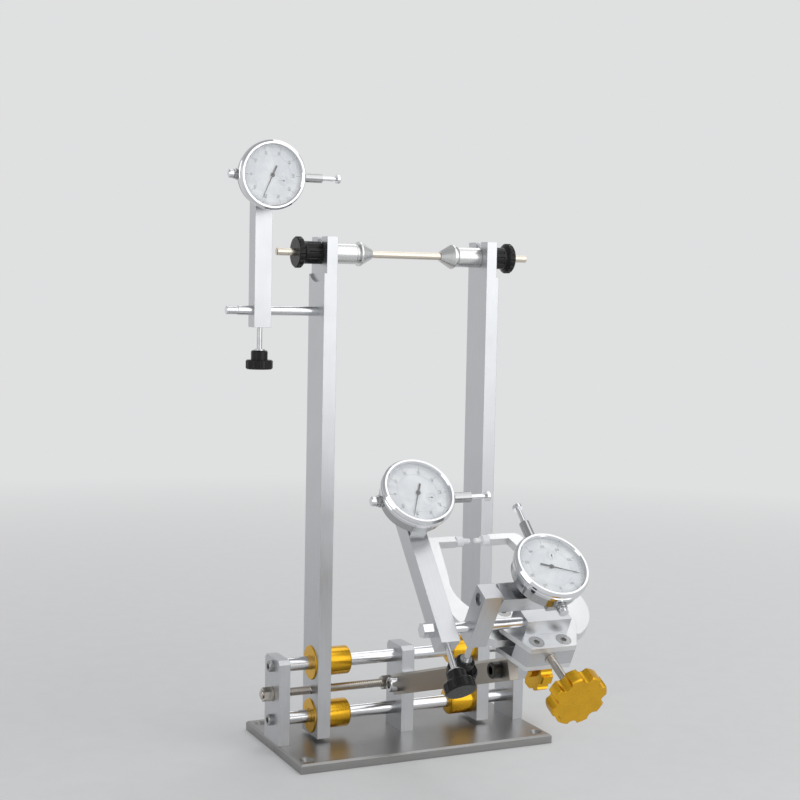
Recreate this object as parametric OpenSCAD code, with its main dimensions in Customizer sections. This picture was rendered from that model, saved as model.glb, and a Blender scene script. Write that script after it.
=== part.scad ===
// Bicycle wheel truing stand with two rim tips and three dial gauges. Millimetres.
// The origin is the centre of the base plate's underside. X runs along the guide rods,
// -Y is the side that the swing arm and the yoke reach towards, and Z is up.

/* [Base plate] */
// Length of the base plate along X
base_x = 240; // [200:1:300]
// Depth of the base plate along Y
base_y = 138; // [100:1:180]
// Thickness of the base plate
base_t = 8; // [6:0.5:12]
// Bevel round the top edge of the base plate
base_bevel = 1.5; // [0.5:0.25:2.5]
// Distance of the corner holes from the ends of the plate
base_hole_in_x = 10; // [9:0.5:14]
// Distance of the corner holes from the front and back of the plate
base_hole_in_y = 12; // [9:0.5:18]
// Diameter of the corner holes
base_hole_d = 6.5; // [4:0.5:7.5]

/* [End plates and centre post] */
// Centre of the rods, screw and axle along Y
line_y = 2.4; // [-5:0.1:8]
// Thickness of each end plate
end_t = 10; // [8:0.5:14]
// Height of the end plates above the base plate
end_h = 74.2; // [72:0.1:90]
// Depth of the end plates and of the uprights
plate_depth = 35.6; // [32:0.1:44]
// Bevel along the top edges of the end plates and of the post
plate_bevel = 3.5; // [1:0.5:5]
// Thickness of the centre post
post_t = 12; // [10:0.5:16]
// Centre of the post along X
post_x = 2.75; // [-2:0.25:4]
// Height of the post above the base plate
post_h = 77; // [75:0.5:95]
// Depth of the post
post_depth = 32.8; // [28:0.1:36]

/* [Rods and lead screw] */
// Diameter of the two guide rods
rod_d = 12; // [8:0.5:14]
// Height of the lower guide rod
rod_low_z = 27.2; // [25:0.1:29]
// Height of the upper guide rod
rod_high_z = 74.4; // [72:0.1:76]
// Depth of the rods' seats in the end plates
rod_seat = 4; // [2:0.5:6]
// Diameter of the lead screw
lead_d = 7.5; // [6:0.5:8]
// Height of the lead screw
lead_z = 50; // [48:0.1:52]
// Reach of the lead screw past the left end plate
lead_left = 10.5; // [10:0.5:14]
// Reach of the lead screw past the right end plate
lead_right = 31; // [26:0.5:40]
// Width across the flats of the nuts
nut_af = 11; // [9:0.5:13]
// Length of the nuts
nut_len = 7; // [5:0.5:9]
// Length of the collar between the post and its nut
collar_len = 5.5; // [3:0.5:8]

/* [Uprights] */
// Distance from the middle to each upright's inner face
upright_in = 72.2; // [64:0.2:76]
// Thickness of the uprights
upright_t = 12; // [10:0.5:14]
// Gap under the uprights
upright_gap = 2.7; // [1:0.1:4]
// Height of the hub axle
axle_z = 432; // [380:1:460]
// Height of the uprights above the axle
upright_over = 13.8; // [10:0.2:22]
// Width of the axle slots
slot_w = 10; // [8:0.5:12]
// Radius of the round seat on the outer faces
seat_r = 25; // [21:0.5:30]
// Depth of that seat
seat_depth = 2.3; // [1:0.1:4]
// Outer diameter of the bushings
bush_d = 25; // [18:0.5:27]
// Reach of the bushings past the inner faces
bush_reach = 16.5; // [8:0.5:22]
// Diameter of the bushing flanges
bush_flange_d = 30; // [29:0.5:32]
// Thickness of the bushing flanges
bush_flange_t = 2; // [1:0.25:3]

/* [Hub axle] */
// Diameter of the axle rod
axle_d = 6.5; // [5:0.5:8]
// Length of the axle rod
axle_len = 243; // [230:1:260]
// Distance from the middle to the tips of the cones
cone_tip_x = 33.5; // [31:0.5:40]
// Length of the cones' taper
cone_len = 12.5; // [8:0.5:16]
// Diameter of the cones at their base
cone_d = 21.5; // [16:0.5:26]
// Diameter of the cones at their tip
cone_tip_d = 9; // [8.5:0.5:12]
// Length of the neck behind each cone
cone_neck_len = 3; // [2:0.5:5]
// Diameter of the sleeves
sleeve_d = 18; // [14:0.5:21]
// Diameter of the neck of the black nuts
axle_nut_neck_d = 19.5; // [14:0.5:21]
// Diameter of the flange of the black nuts
axle_nut_d = 27; // [22:0.5:32]
// Length of the neck of the black nuts
axle_nut_neck = 15; // [10:0.5:20]
// Thickness of the flange of the black nuts
axle_nut_flange = 5.4; // [4:0.2:8]

/* [Swing arm] */
// Place of the swing pivot along Y
swing_y = -20.7; // [-26:0.1:-20]
// Height of the swing pivot
swing_z = 54; // [50:0.5:60]
// Distance between the arm's two pivots
arm_len = 193.9; // [160:0.5:220]
// Rise of the arm from level, in degrees
arm_rise = 17.2; // [10:0.2:25]
// Width of the arm
arm_w = 18; // [16:0.5:22]
// Thickness of the arm
arm_t = 7.9; // [6:0.1:10]
// Reach of the arm behind the swing pivot
arm_back = 9.3; // [9:0.1:11]
// Reach of the arm past the tilt pivot
arm_front = 14.5; // [10:0.5:18]
// Bevel along the arm's top left edge
arm_bevel = 2; // [0.5:0.25:3]
// Diameter of the pivot screws
pivot_d = 8; // [6:0.5:9]
// Diameter of the pivot screws' heads
pivot_head_d = 13; // [11:0.5:15]
// Height of the pivot screws' heads
pivot_head_h = 8; // [5:0.5:9]

/* [Yoke] */
// Slope of the yoke plates, in degrees
yoke_slope = 27.5; // [20:0.5:35]
// Distance of the tilt pivot behind the yoke's front
pivot_back = 40.5; // [36:0.5:44]
// Distance of the tilt pivot below the yoke's top
pivot_drop = 55.4; // [50:0.2:62]
// Width of the yoke's front
yoke_front_w = 38; // [36:0.5:44]
// Width of the yoke's back part
yoke_back_w = 64; // [62:0.5:70]
// Length of the yoke plates
yoke_len = 55; // [54:0.5:62]
// Angle of the yoke's slanted sides, in degrees
yoke_flare = 27.5; // [24:0.5:32]
// Thickness of the top plate
yoke_top_t = 4.3; // [3:0.1:6]
// Thickness of the lower plate
yoke_low_t = 3.8; // [3:0.1:6]
// Height of the channel between the plates
channel_h = 12.8; // [12.2:0.1:16]
// Length of the front block
block_len = 12.5; // [12:0.1:12.8]
// Thickness of the tilt lug
tilt_lug_t = 11; // [8:0.5:14]
// Width of the tilt lug at the plate
tilt_lug_w = 24; // [20:0.5:28]
// Diameter of the countersunk screw heads
flat_head_d = 12; // [9:0.5:13]
// Diameter of the countersunk screws
flat_screw_d = 6; // [5:0.5:6.5]
// Distance of the front screws from the middle
front_screw_x = 11.5; // [10.5:0.5:12]
// Distance of the front screws behind the yoke's front
front_screw_back = 7.6; // [7:0.1:8]

/* [Callipers] */
// Distance of the calliper pivots from the middle
calliper_x = 22; // [21.5:0.5:23]
// Distance of the calliper pivots behind the yoke's front
calliper_back = 44; // [43.5:0.5:45]
// Thickness of the calliper arms
calliper_t = 6.5; // [5:0.25:8]
// Radius of the calliper hubs
hub_r = 9.5; // [8:0.25:10]
// Radius of the lobes' outer edge
lobe_r = 45; // [43:0.5:47]
// Distance of the lobes' centres from the middle
lobe_x = 14; // [13:0.5:15]
// Distance of the lobes' centres behind the yoke's front
lobe_back = 60; // [59:0.5:62]
// Radius of the callipers' inner edge
throat_r = 41; // [39:0.5:42]
// Distance of the inner edges' centres from the middle
throat_x = 5; // [4:0.5:6]
// Distance of the inner edges' centres behind the yoke's front
throat_back = 80; // [79:0.5:82]
// Distance of the tip bars behind the yoke's front
tip_back = 145; // [138:0.5:152]
// Width of the tip bars
tip_bar_w = 7; // [6:0.25:9]
// Distance of the elbows' outer sides from the middle
elbow_x = 45; // [43:0.5:48]
// Distance of the tip bars' inner ends from the middle
tip_bar_x = 15; // [13:0.5:18]
// Diameter of the nylon tips
nylon_d = 8.5; // [7:0.25:10]
// Diameter of the nylon tips' noses
nylon_nose_d = 4.6; // [3.5:0.1:6]
// Gap between the nylon tips
tip_gap = 3; // [2.5:0.25:5]

/* [Calliper adjuster] */
// Diameter of the adjuster screw
adjust_d = 6; // [5:0.5:6.5]
// Distance of the adjuster screw below the yoke's top
adjust_drop = 10.7; // [10.5:0.1:10.9]
// Distance of the knob in front of the yoke
adjust_reach = 35; // [25:1:45]
// Radius of the spreader cone
spread_r = 8; // [7.8:0.1:8]
// Radius of the spreader cone's nose
spread_nose_r = 4; // [3.9:0.1:4.2]
// Length of the spreader's straight part
spread_len = 3.8; // [3:0.1:4]

/* [Gold knobs] */
// Diameter of the gold knobs
knob_d = 44; // [36:1:50]
// Thickness of the gold knobs
knob_t = 12; // [8:0.5:14]
// Number of notches round the gold knobs
knob_notches = 8; // [6:1:10]
// Radius of the notches
notch_r = 4.6; // [3:0.2:5.4]

/* [Gauge shaft and rods] */
// Diameter of the gauge shaft and of the top gauge's rod
shaft_d = 8; // [6:0.5:9]
// Distance of the shaft behind the yoke's front
shaft_back = 22; // [20:0.5:28]
// Height of the shaft above the yoke's top
shaft_up = 7.5; // [7:0.1:8]
// Half width of the shaft block
shaft_block_half = 18.5; // [14:0.5:22]
// Front of the shaft block behind the yoke's front
shaft_block_back = 15; // [14:0.5:15]
// Length of the shaft block
shaft_block_len = 22; // [20:0.5:24]
// Height of the shaft block
shaft_block_h = 13; // [12.5:0.25:16]
// Reach of the gauge shaft to the left of the middle
shaft_reach = 92.3; // [92:0.1:110]
// Width across the flats of the shaft's head
shaft_head_af = 10; // [9:0.5:12]
// Length of the shaft's head
shaft_head_len = 9; // [6:0.5:12]
// Height of the top gauge's rod
top_rod_z = 381.8; // [340:1:395]
// Reach of the top gauge's rod past the left upright
top_rod_reach = 81.4; // [70:0.2:100]

/* [Gauge bars] */
// Width of the square gauge bars
bar_w = 15; // [13:0.5:18]
// Reach of the bars past the shaft they clamp on
bar_below = 14.2; // [12:0.2:18]
// Centre of the top gauge along X, from the left upright's outer face
top_gauge_out = 51.3; // [44:0.5:60]
// Height of the top gauge's centre above its rod
top_gauge_up = 112.2; // [90:0.2:130]
// Centre of the side gauge along X
side_gauge_x = -84.8; // [-95:0.2:-84]
// Lean of the side gauge's bar backward, in degrees
side_lean = 40.5; // [30:0.5:50]
// Distance of the side gauge's centre from the shaft
side_gauge_up = 99.1; // [85:0.2:110]
// Centre of the rim gauge's bar along X
rim_bar_x = -55.6; // [-56:0.1:-52]
// Lean of the rim gauge's bar forward, in degrees
rim_lean = 31; // [25:0.5:36]
// Length of the rim gauge's bar above the shaft
rim_bar_up = 34; // [32:0.2:44]
// Centre of the rim gauge along X
rim_gauge_x = -12; // [-16:0.5:-6]
// Lean of the rim gauge's face backward, in degrees
rim_face_lean = 47; // [40:0.5:54]
// Distance of the rim gauge's centre past its cross bar, along the plunger
rim_gauge_past = 5; // [0:0.5:6]

/* [Gauges] */
// Diameter of the bezels
bezel_d = 57.5; // [50:0.5:60]
// Height of the bezels
bezel_h = 7.9; // [7:0.1:8]
// Width of the bezels' rim
bezel_rim = 3.8; // [3:0.1:5]
// Depth of the gauge cases behind the dial
case_depth = 14.5; // [13:0.25:18]
// Thickness of the lug on the back of the cases
lug_t = 4.4; // [3:0.1:6]
// Width of that lug
lug_w = 13; // [10:0.5:15]
// Depth of the plungers behind the dial
plunger_depth = 8.5; // [8.4:0.1:9]
// Diameter of the stems
stem_d = 8; // [7:0.5:8.5]
// Reach of the stems from the dial's centre
stem_reach = 47; // [42:0.5:52]
// Diameter of the plungers
plunger_d = 4; // [3.5:0.25:5]
// Reach of the plungers from the dial's centre
plunger_reach = 64; // [60:0.5:72]
// Diameter of the contact discs
disc_d = 7.5; // [5:0.5:9]
// Thickness of the contact discs
disc_t = 3.4; // [2:0.2:5]
// Reach of the cap tubes on the far side
cap_reach = 31; // [30:0.5:36]
// Length of the plungers' caps
cap_len = 4; // [3:0.5:6]
// Length of the long hands
hand_len = 21.5; // [18:0.5:22]
// Length of the long hands' tails
hand_tail = 8.5; // [5:0.5:10]

/* [Clamp knobs] */
// Diameter of the clamp studs
stud_d = 4.6; // [4:0.2:6]
// Length of stud between bar and knob
stud_bare = 19.6; // [10:0.2:26]
// Diameter of the clamp knobs' necks
clamp_neck_d = 14.3; // [11:0.1:16]
// Length of the clamp knobs' necks
clamp_neck = 8; // [5:0.5:12]
// Diameter of the clamp knobs' heads
clamp_d = 23; // [18:0.5:28]
// Height of the clamp knobs' heads
clamp_h = 8; // [6:0.5:12]

/* [Fits] */
// Radial clearance of running and sliding fits
run_gap = 0.04; // [0.02:0.01:0.08]
// Gap between faces that slide past each other
face_gap = 0.2; // [0.1:0.05:0.3]

/* [Hidden] */
$fn = 48;
// Overlap of cutting shapes past the faces that they cut
cut = 1;
end_x = base_x / 2;
end_in = end_x - end_t;
rod_end = end_in + rod_seat;
upright_out = upright_in + upright_t;
upright_low = base_t + upright_gap;
// Least wall over the top gauge's rod, least gap beside its bar, and the rod's least reach past it
rod_wall = 4;
bar_clear = 5;
rod_past = 5;
upright_high = max(axle_z + upright_over, top_rod_z + shaft_d / 2 + rod_wall);
top_bar_out = max(upright_out + top_gauge_out, axle_len / 2 + bar_clear + bar_w / 2);
top_rod_out = max(upright_out + top_rod_reach, top_bar_out + bar_w / 2 + rod_past);
seat_x = upright_out - seat_depth;
post_left = post_x - post_t / 2;
// Frame screws: size of the shank, of the head and the thread's depth in what they hold
frame_screw_d = 5;
frame_head_d = 10;
frame_head_h = 4;
frame_thread = 12;
washer_d = 13;
washer_t = 1.5;
key_af = 5;
foot_spread = post_depth * 0.3;
// Countersinks of the base plate's corner holes: depth and widening
sink_depth = 3;
sink_flare = 8;
// How far outside the rim the centres of grooves and notches lie, as shares of their radius
groove_out = 0.45;
notch_out = 0.1;
arm_right = post_left - face_gap;
arm_left = arm_right - arm_t;
tilt_y = swing_y - arm_len * cos(arm_rise);
tilt_z = swing_z + arm_len * sin(arm_rise);
lug_r = arm_w / 2;
yoke_total = yoke_top_t + channel_h + yoke_low_t;
channel_mid = -yoke_top_t - channel_h / 2;
// Edge of the calliper arms beside the spreader cone, and where it begins
spread_back = 20.8;
flank_x = spread_r + face_gap;
flank_back = spread_back - face_gap;
// Radius of the elbows, and width of the arms inside it
elbow_r = tip_bar_w;
elbow_in = 6;
// How far the arms' straight sides start inside the arcs that they join
touch_in = 0.6;
// Length of the tips' spigots in the tip bars
spigot_len = 9.5;
// Length of the adjuster screw past the spreader cone's straight part
adjust_tail = 10;
// Gauge case: its radius, and the step at its front that carries the bezel
case_r = bezel_d / 2 - 2.2;
case_step = 1.6;
crystal_r = bezel_d / 2 - bezel_rim;
// Spindle of a hand: its diameter and the depth of its hole in the case
spindle_d = 1.5;
spindle_hole = 4;
lug_face = case_depth + lug_t;
gauge_out = bar_w / 2 + lug_face;
gold = "goldenrod";
steel = "silver";
chrome = "gainsboro";
alloy = "lightgray";
black = [0.08, 0.08, 0.09];

// A cylinder of diameter d along X, from x0 to x1
module bar_x(x0, x1, d) {
    translate([x0, 0, 0])
        rotate([0, 90, 0])
            cylinder(h = x1 - x0, d = d);
}

// A turned shape about X: points are [radius, place along X]
module turned_x(points) {
    rotate([0, 90, 0])
        rotate_extrude()
            polygon(points);
}

// A flat shape drawn in Y and Z, given its thickness along X from x0 to x1
module slab_x(x0, x1) {
    translate([x0, 0, 0])
        rotate([90, 0, 90])
            linear_extrude(height = x1 - x0)
                children();
}

// A block with its four top edges bevelled, centred on X and Y, standing on z = 0
module bevelled_block(x, y, z, bevel) {
    intersection() {
        translate([0, y / 2, 0])
            rotate([90, 0, 0])
                linear_extrude(height = y)
                    bevelled_outline(x, z, bevel);
        slab_x(-x / 2, x / 2)
            bevelled_outline(y, z, bevel);
    }
}

module bevelled_outline(w, h, bevel) {
    polygon([
        [-w / 2, 0], [w / 2, 0], [w / 2, h - bevel],
        [w / 2 - bevel, h], [-w / 2 + bevel, h], [-w / 2, h - bevel]
    ]);
}

// A countersunk screw hanging down from z = 0, and the hole that it sits in
module flat_screw(length) {
    difference() {
        union() {
            cylinder(h = flat_cone(), d1 = flat_screw_d, d2 = flat_head_d);
            translate([0, 0, flat_cone() - length])
                cylinder(h = length - flat_cone() / 2, d = flat_screw_d);
        }
        translate([0, 0, flat_cone() - flat_head_d / 6])
            cylinder(h = flat_head_d / 6 + cut, d = key_af, $fn = 6);
    }
}

function flat_cone() = (flat_head_d - flat_screw_d) / 2;

module flat_hole(length) {
    gap = 2 * run_gap;
    translate([0, 0, -cut])
        cylinder(h = cut + flat_cone(), d = flat_screw_d + gap);
    cylinder(h = flat_cone() + gap, d1 = flat_screw_d + gap, d2 = flat_head_d + 2 * gap);
    translate([0, 0, flat_cone() - length])
        cylinder(h = length, d = flat_screw_d + gap);
}

// A socket head screw: its head lies on x < 0 and its shank runs to x = length
module socket_screw(d, head_d, head_h, length) {
    bevel = 0.8;
    difference() {
        turned_x([
            [0, length], [d / 2, length], [d / 2, 0], [head_d / 2, 0],
            [head_d / 2, -head_h + bevel], [head_d / 2 - bevel, -head_h], [0, -head_h]
        ]);
        translate([-head_h - cut, 0, 0])
            rotate([0, 90, 0])
                cylinder(h = head_h / 2 + cut, d = head_d / 2 / cos(30), $fn = 6);
    }
}

// A shape with flutes cut round it: children are cut by grooves parallel to Z
module fluted(r, count, groove_r, h) {
    difference() {
        children();
        for (i = [0 : count - 1])
            rotate([0, 0, i * 360 / count])
                translate([r + groove_r * groove_out, 0, -cut])
                    cylinder(h = h + 2 * cut, r = groove_r, $fn = 24);
    }
}

// The scalloped knob, standing on z = 0 with its boss below and a bore of diameter bore_d
module gold_knob(bore_d, boss_len) {
    boss_r = knob_d * 0.2;
    bevel = 1.2;
    dish = 2;
    difference() {
        rotate_extrude()
            polygon([
                [bore_d / 2, -boss_len], [boss_r, -boss_len], [boss_r, 0],
                [knob_d / 2 - bevel, 0], [knob_d / 2, bevel], [knob_d / 2, knob_t - bevel],
                [knob_d / 2 - bevel, knob_t], [boss_r + dish, knob_t], [boss_r, knob_t - dish],
                [bore_d / 2, knob_t - dish]
            ]);
        for (i = [0 : knob_notches - 1])
            rotate([0, 0, i * 360 / knob_notches])
                translate([knob_d / 2 + notch_r * notch_out, 0, -cut])
                    cylinder(h = knob_t + 2 * cut, r = notch_r, $fn = 32);
    }
}

// Frame

module base_plate() {
    color(alloy)
        difference() {
            bevelled_block(base_x, base_y, base_t, base_bevel);
            for (sx = [-1, 1])
                for (sy = [-1, 1])
                    translate([
                        sx * (base_x / 2 - base_hole_in_x),
                        sy * (base_y / 2 - base_hole_in_y), -cut
                    ]) {
                        cylinder(h = base_t + 2 * cut, d = base_hole_d);
                        translate([0, 0, cut + base_t - sink_depth])
                            cylinder(h = sink_depth + cut, d1 = base_hole_d, d2 = base_hole_d + sink_flare);
                    }
            for (p = foot_screws())
                translate([p[0], p[1], 0]) {
                    translate([0, 0, -cut])
                        cylinder(h = base_t + 2 * cut, d = frame_screw_d + 2 * run_gap);
                    translate([0, 0, -cut])
                        cylinder(h = frame_head_h + cut, d = frame_head_d + 4 * run_gap);
                }
        }
}

// Places of the screws that come up through the base plate
function foot_screws() = [
    for (x = [-end_x + end_t / 2, post_x, end_x - end_t / 2])
        for (sy = [-1, 1])
            [x, line_y + sy * foot_spread]
];

module end_plate(sx) {
    color(alloy)
        translate([sx * (end_x - end_t / 2), line_y, base_t])
            difference() {
                bevelled_x(end_t, plate_depth, end_h, plate_bevel);
                for (z = [rod_low_z, rod_high_z])
                    translate([0, 0, z - base_t]) {
                        bar_x(-end_t, end_t, frame_screw_d + 2 * run_gap);
                        translate([-sx * (end_t / 2 + cut), 0, 0])
                            scale([sx, 1, 1])
                                bar_x(0, rod_seat + cut, rod_d + 2 * run_gap);
                    }
                translate([0, 0, lead_z - base_t])
                    bar_x(-end_t, end_t, lead_d + 2 * run_gap);
                foot_threads();
            }
}

// The tapped holes in the underside of a plate that stands at x = 0
module foot_threads() {
    for (sy = [-1, 1])
        translate([0, sy * foot_spread, -cut])
            cylinder(h = frame_thread + cut, d = frame_screw_d + 2 * run_gap);
}

// A standing plate whose front and back top edges are bevelled
module bevelled_x(t, depth, h, bevel) {
    slab_x(-t / 2, t / 2)
        bevelled_outline(depth, h, bevel);
}

module end_plate_left() {
    end_plate(-1);
}

module end_plate_right() {
    end_plate(1);
}

module centre_post() {
    color(alloy)
        difference() {
            union() {
                translate([post_x, line_y, base_t])
                    bevelled_x(post_t, post_depth, post_h, plate_bevel);
                slab_x(post_left, post_left + post_t)
                    post_lug_outline();
            }
            for (z = [rod_low_z, rod_high_z])
                translate([0, line_y, z])
                    bar_x(post_left - cut, post_left + post_t + cut, rod_d + 2 * run_gap);
            translate([0, line_y, lead_z])
                bar_x(post_left - cut, post_left + post_t + cut, lead_d + 2 * run_gap);
            translate([0, swing_y, swing_z])
                bar_x(post_left - cut, post_left + post_t + cut, pivot_d + 2 * run_gap);
            translate([post_x, line_y, base_t])
                foot_threads();
        }
}

// The lug on the post's front, drawn in Y and Z
module post_lug_outline() {
    front = line_y - post_depth / 2;
    translate([swing_y, swing_z])
        circle(r = lug_r);
    translate([swing_y, swing_z - lug_r])
        square([front - swing_y + cut, 2 * lug_r]);
}

module guide_rod(z) {
    color(chrome)
        translate([0, line_y, z])
            difference() {
                bar_x(-rod_end, rod_end, rod_d);
                for (sx = [-1, 1])
                    translate([sx * rod_end, 0, 0])
                        bar_x(-frame_thread, frame_thread, frame_screw_d + 2 * run_gap);
            }
}

module guide_rod_lower() {
    guide_rod(rod_low_z);
}

module guide_rod_upper() {
    guide_rod(rod_high_z);
}

module frame_screws() {
    color("dimgray") {
        for (z = [rod_low_z, rod_high_z])
            for (turn = [0, 180])
                translate([0, line_y, z])
                    rotate([0, 0, turn])
                        translate([-end_x, 0, 0])
                            socket_screw(frame_screw_d, frame_head_d, frame_head_h,
                                end_t - rod_seat + frame_thread - cut);
        for (p = foot_screws())
            translate([p[0], p[1], frame_head_h])
                rotate([0, -90, 0])
                    socket_screw(frame_screw_d, frame_head_d, frame_head_h - 0.3,
                        base_t - frame_head_h + frame_thread - cut);
    }
}

// Lead screw

module lead_screw() {
    color(steel)
        translate([0, line_y, lead_z])
            bar_x(-end_x - lead_left, end_x + lead_right, lead_d);
}

module lead_screw_nuts() {
    bore = lead_d + 2 * run_gap;
    color("gray")
        translate([0, line_y, lead_z]) {
            for (place = [
                [-end_x - face_gap, -1], [end_x + face_gap, 1]
            ])
                translate([place[0], 0, 0])
                    mirror([place[1] < 0 ? 1 : 0, 0, 0])
                        nut_and_washer(bore);
            translate([post_left - face_gap, 0, 0])
                mirror([1, 0, 0])
                    difference() {
                        union() {
                            bar_x(0, collar_len - washer_t, nut_af);
                            translate([collar_len - washer_t, 0, 0])
                                nut_and_washer(bore);
                        }
                        bar_x(-cut, collar_len + cut, bore);
                    }
        }
}

module nut_and_washer(bore) {
    difference() {
        union() {
            bar_x(0, washer_t, washer_d);
            translate([washer_t, 0, 0])
                rotate([0, 90, 0])
                    cylinder(h = nut_len, d = nut_af / cos(30), $fn = 6);
        }
        bar_x(-cut, washer_t + nut_len + cut, bore);
    }
}

module lead_screw_knob() {
    color(gold)
        translate([end_x + lead_right, line_y, lead_z])
            rotate([0, 90, 0])
                translate([0, 0, -knob_t])
                    gold_knob(lead_d + 2 * run_gap, 4);
}

// Uprights

module upright(sx) {
    color(alloy)
        translate([0, line_y, 0])
            mirror([sx < 0 ? 1 : 0, 0, 0])
                difference() {
                    slab_x(upright_in, upright_out)
                        upright_outline();
                    translate([0, 0, axle_z])
                        bar_x(seat_x, upright_out + cut, 2 * seat_r);
                    slab_x(seat_x, upright_out + cut)
                        translate([-plate_depth / 2 - cut, axle_z])
                            square([plate_depth + 2 * cut, upright_over + cut]);
                    for (z = [rod_low_z, rod_high_z])
                        translate([0, 0, z])
                            bar_x(upright_in - cut, upright_out + cut, bush_d + 2 * run_gap);
                    translate([0, 0, lead_z])
                        bar_x(upright_in - cut, upright_out + cut, lead_d + 2 * run_gap);
                    if (sx < 0)
                        translate([0, 0, top_rod_z])
                            bar_x(upright_in + top_rod_floor(), upright_out + cut,
                                shaft_d + 2 * run_gap);
                }
}

// Wall left in the upright behind the top gauge's rod
function top_rod_floor() = upright_t / 4;

module upright_outline() {
    difference() {
        translate([-plate_depth / 2, upright_low])
            square([plate_depth, upright_high - upright_low]);
        translate([0, axle_z])
            circle(d = slot_w);
        translate([-slot_w / 2, axle_z])
            square([slot_w, upright_over + cut]);
    }
}

module upright_left() {
    upright(-1);
}

module upright_right() {
    upright(1);
}

module bushings(sx) {
    bevel = 2;
    color(gold)
        for (z = [rod_low_z, rod_high_z])
            translate([0, line_y, z])
                mirror([sx < 0 ? 1 : 0, 0, 0])
                    turned_x([
                        [rod_d / 2 + run_gap, upright_in - bush_reach],
                        [bush_d / 2 - bevel, upright_in - bush_reach],
                        [bush_d / 2, upright_in - bush_reach + bevel],
                        [bush_d / 2, upright_out],
                        [bush_flange_d / 2, upright_out],
                        [bush_flange_d / 2, upright_out + bush_flange_t],
                        [rod_d / 2 + run_gap, upright_out + bush_flange_t]
                    ]);
}

module bushings_left() {
    bushings(-1);
}

module bushings_right() {
    bushings(1);
}

module top_gauge_rod() {
    turned_end = 10;
    step = 0.5;
    color(chrome)
        translate([0, line_y, top_rod_z])
            turned_x([
                [0, -upright_in - top_rod_floor()],
                [shaft_d / 2, -upright_in - top_rod_floor()],
                [shaft_d / 2, -top_rod_out + turned_end],
                [shaft_d / 2 - step, -top_rod_out + turned_end],
                [shaft_d / 2 - step, -top_rod_out + step],
                [shaft_d / 2 - 2 * step, -top_rod_out],
                [0, -top_rod_out]
            ]);
}

// Hub axle

module axle_rod() {
    bevel = 0.6;
    color(chrome)
        translate([0, line_y, axle_z])
            turned_x([
                [0, -axle_len / 2], [axle_d / 2 - bevel, -axle_len / 2],
                [axle_d / 2, -axle_len / 2 + bevel], [axle_d / 2, axle_len / 2 - bevel],
                [axle_d / 2 - bevel, axle_len / 2], [0, axle_len / 2]
            ]);
}

function cone_back_x() = cone_tip_x + cone_len + cone_neck_len;

module cone(sx) {
    lip = 1.5;
    neck_r = sleeve_d / 2 - 1;
    color(steel)
        translate([0, line_y, axle_z])
            mirror([sx < 0 ? 1 : 0, 0, 0])
                turned_x([
                    [axle_d / 2 + run_gap, cone_tip_x],
                    [cone_tip_d / 2, cone_tip_x],
                    [cone_d / 2, cone_tip_x + cone_len - lip],
                    [cone_d / 2, cone_tip_x + cone_len],
                    [neck_r, cone_tip_x + cone_len],
                    [neck_r, cone_back_x()],
                    [axle_d / 2 + run_gap, cone_back_x()]
                ]);
}

module cone_left() {
    cone(-1);
}

module cone_right() {
    cone(1);
}

module sleeve(sx) {
    bevel = 0.8;
    back = upright_in - face_gap;
    color(steel)
        translate([0, line_y, axle_z])
            mirror([sx < 0 ? 1 : 0, 0, 0])
                turned_x([
                    [axle_d / 2 + run_gap, cone_back_x()],
                    [sleeve_d / 2 - bevel, cone_back_x()],
                    [sleeve_d / 2, cone_back_x() + bevel],
                    [sleeve_d / 2, back],
                    [axle_d / 2 + run_gap, back]
                ]);
}

module sleeve_left() {
    sleeve(-1);
}

module sleeve_right() {
    sleeve(1);
}

// The black nut that clamps the axle, fluted on its neck and its flange
module axle_nut(sx) {
    taper = 2;
    edge = 1;
    total = axle_nut_neck + taper + axle_nut_flange;
    color(black)
        translate([sx * (seat_x + face_gap), line_y, axle_z])
            rotate([0, sx * 90, 0])
                fluted(axle_nut_d / 2, 18, 1.4, total)
                    fluted(axle_nut_neck_d / 2, 12, 1.2, axle_nut_neck - taper - cut)
                        rotate_extrude()
                            polygon([
                                [axle_d / 2 + run_gap, 0], [axle_nut_neck_d / 2, 0],
                                [axle_nut_neck_d / 2, axle_nut_neck],
                                [axle_nut_d / 2 - edge, axle_nut_neck + taper],
                                [axle_nut_d / 2, axle_nut_neck + taper + edge],
                                [axle_nut_d / 2, total - edge], [axle_nut_d / 2 - edge, total],
                                [axle_d / 2 + run_gap, total]
                            ]);
}

module axle_nut_left() {
    axle_nut(-1);
}

module axle_nut_right() {
    axle_nut(1);
}

// Swing arm

// Puts children on the arm: +Y there runs back along it, and the origin is the tilt pivot
module on_arm() {
    translate([0, tilt_y, tilt_z])
        rotate([-arm_rise, 0, 0])
            children();
}

module swing_arm() {
    color("darkgray")
        on_arm()
            difference() {
                translate([arm_left, -arm_front, -arm_w / 2])
                    cube([arm_t, arm_front + arm_len + arm_back, arm_w]);
                translate([arm_left, -arm_front - cut, arm_w / 2])
                    rotate([-90, 0, 0])
                        linear_extrude(height = arm_front + arm_len + arm_back + 2 * cut)
                            polygon([
                                [-cut, -cut], [arm_bevel + cut, -cut],
                                [-cut, arm_bevel + cut]
                            ]);
                for (back = [0, arm_len])
                    translate([0, back, 0])
                        bar_x(arm_left - cut, arm_right + cut, pivot_d + 2 * run_gap);
            }
}

module arm_pivot_screws() {
    reach = arm_t + face_gap + tilt_lug_t;
    color(black)
        on_arm()
            for (back = [0, arm_len])
                translate([arm_left, back, 0])
                    socket_screw(pivot_d, pivot_head_d, pivot_head_h, reach);
}

// Yoke

// Puts children on the yoke: X stays, +Y runs back along its plates and z = 0 is its top
module on_yoke() {
    translate([0, tilt_y, tilt_z])
        rotate([yoke_slope, 0, 0])
            translate([0, -pivot_back, pivot_drop])
                children();
}

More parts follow.
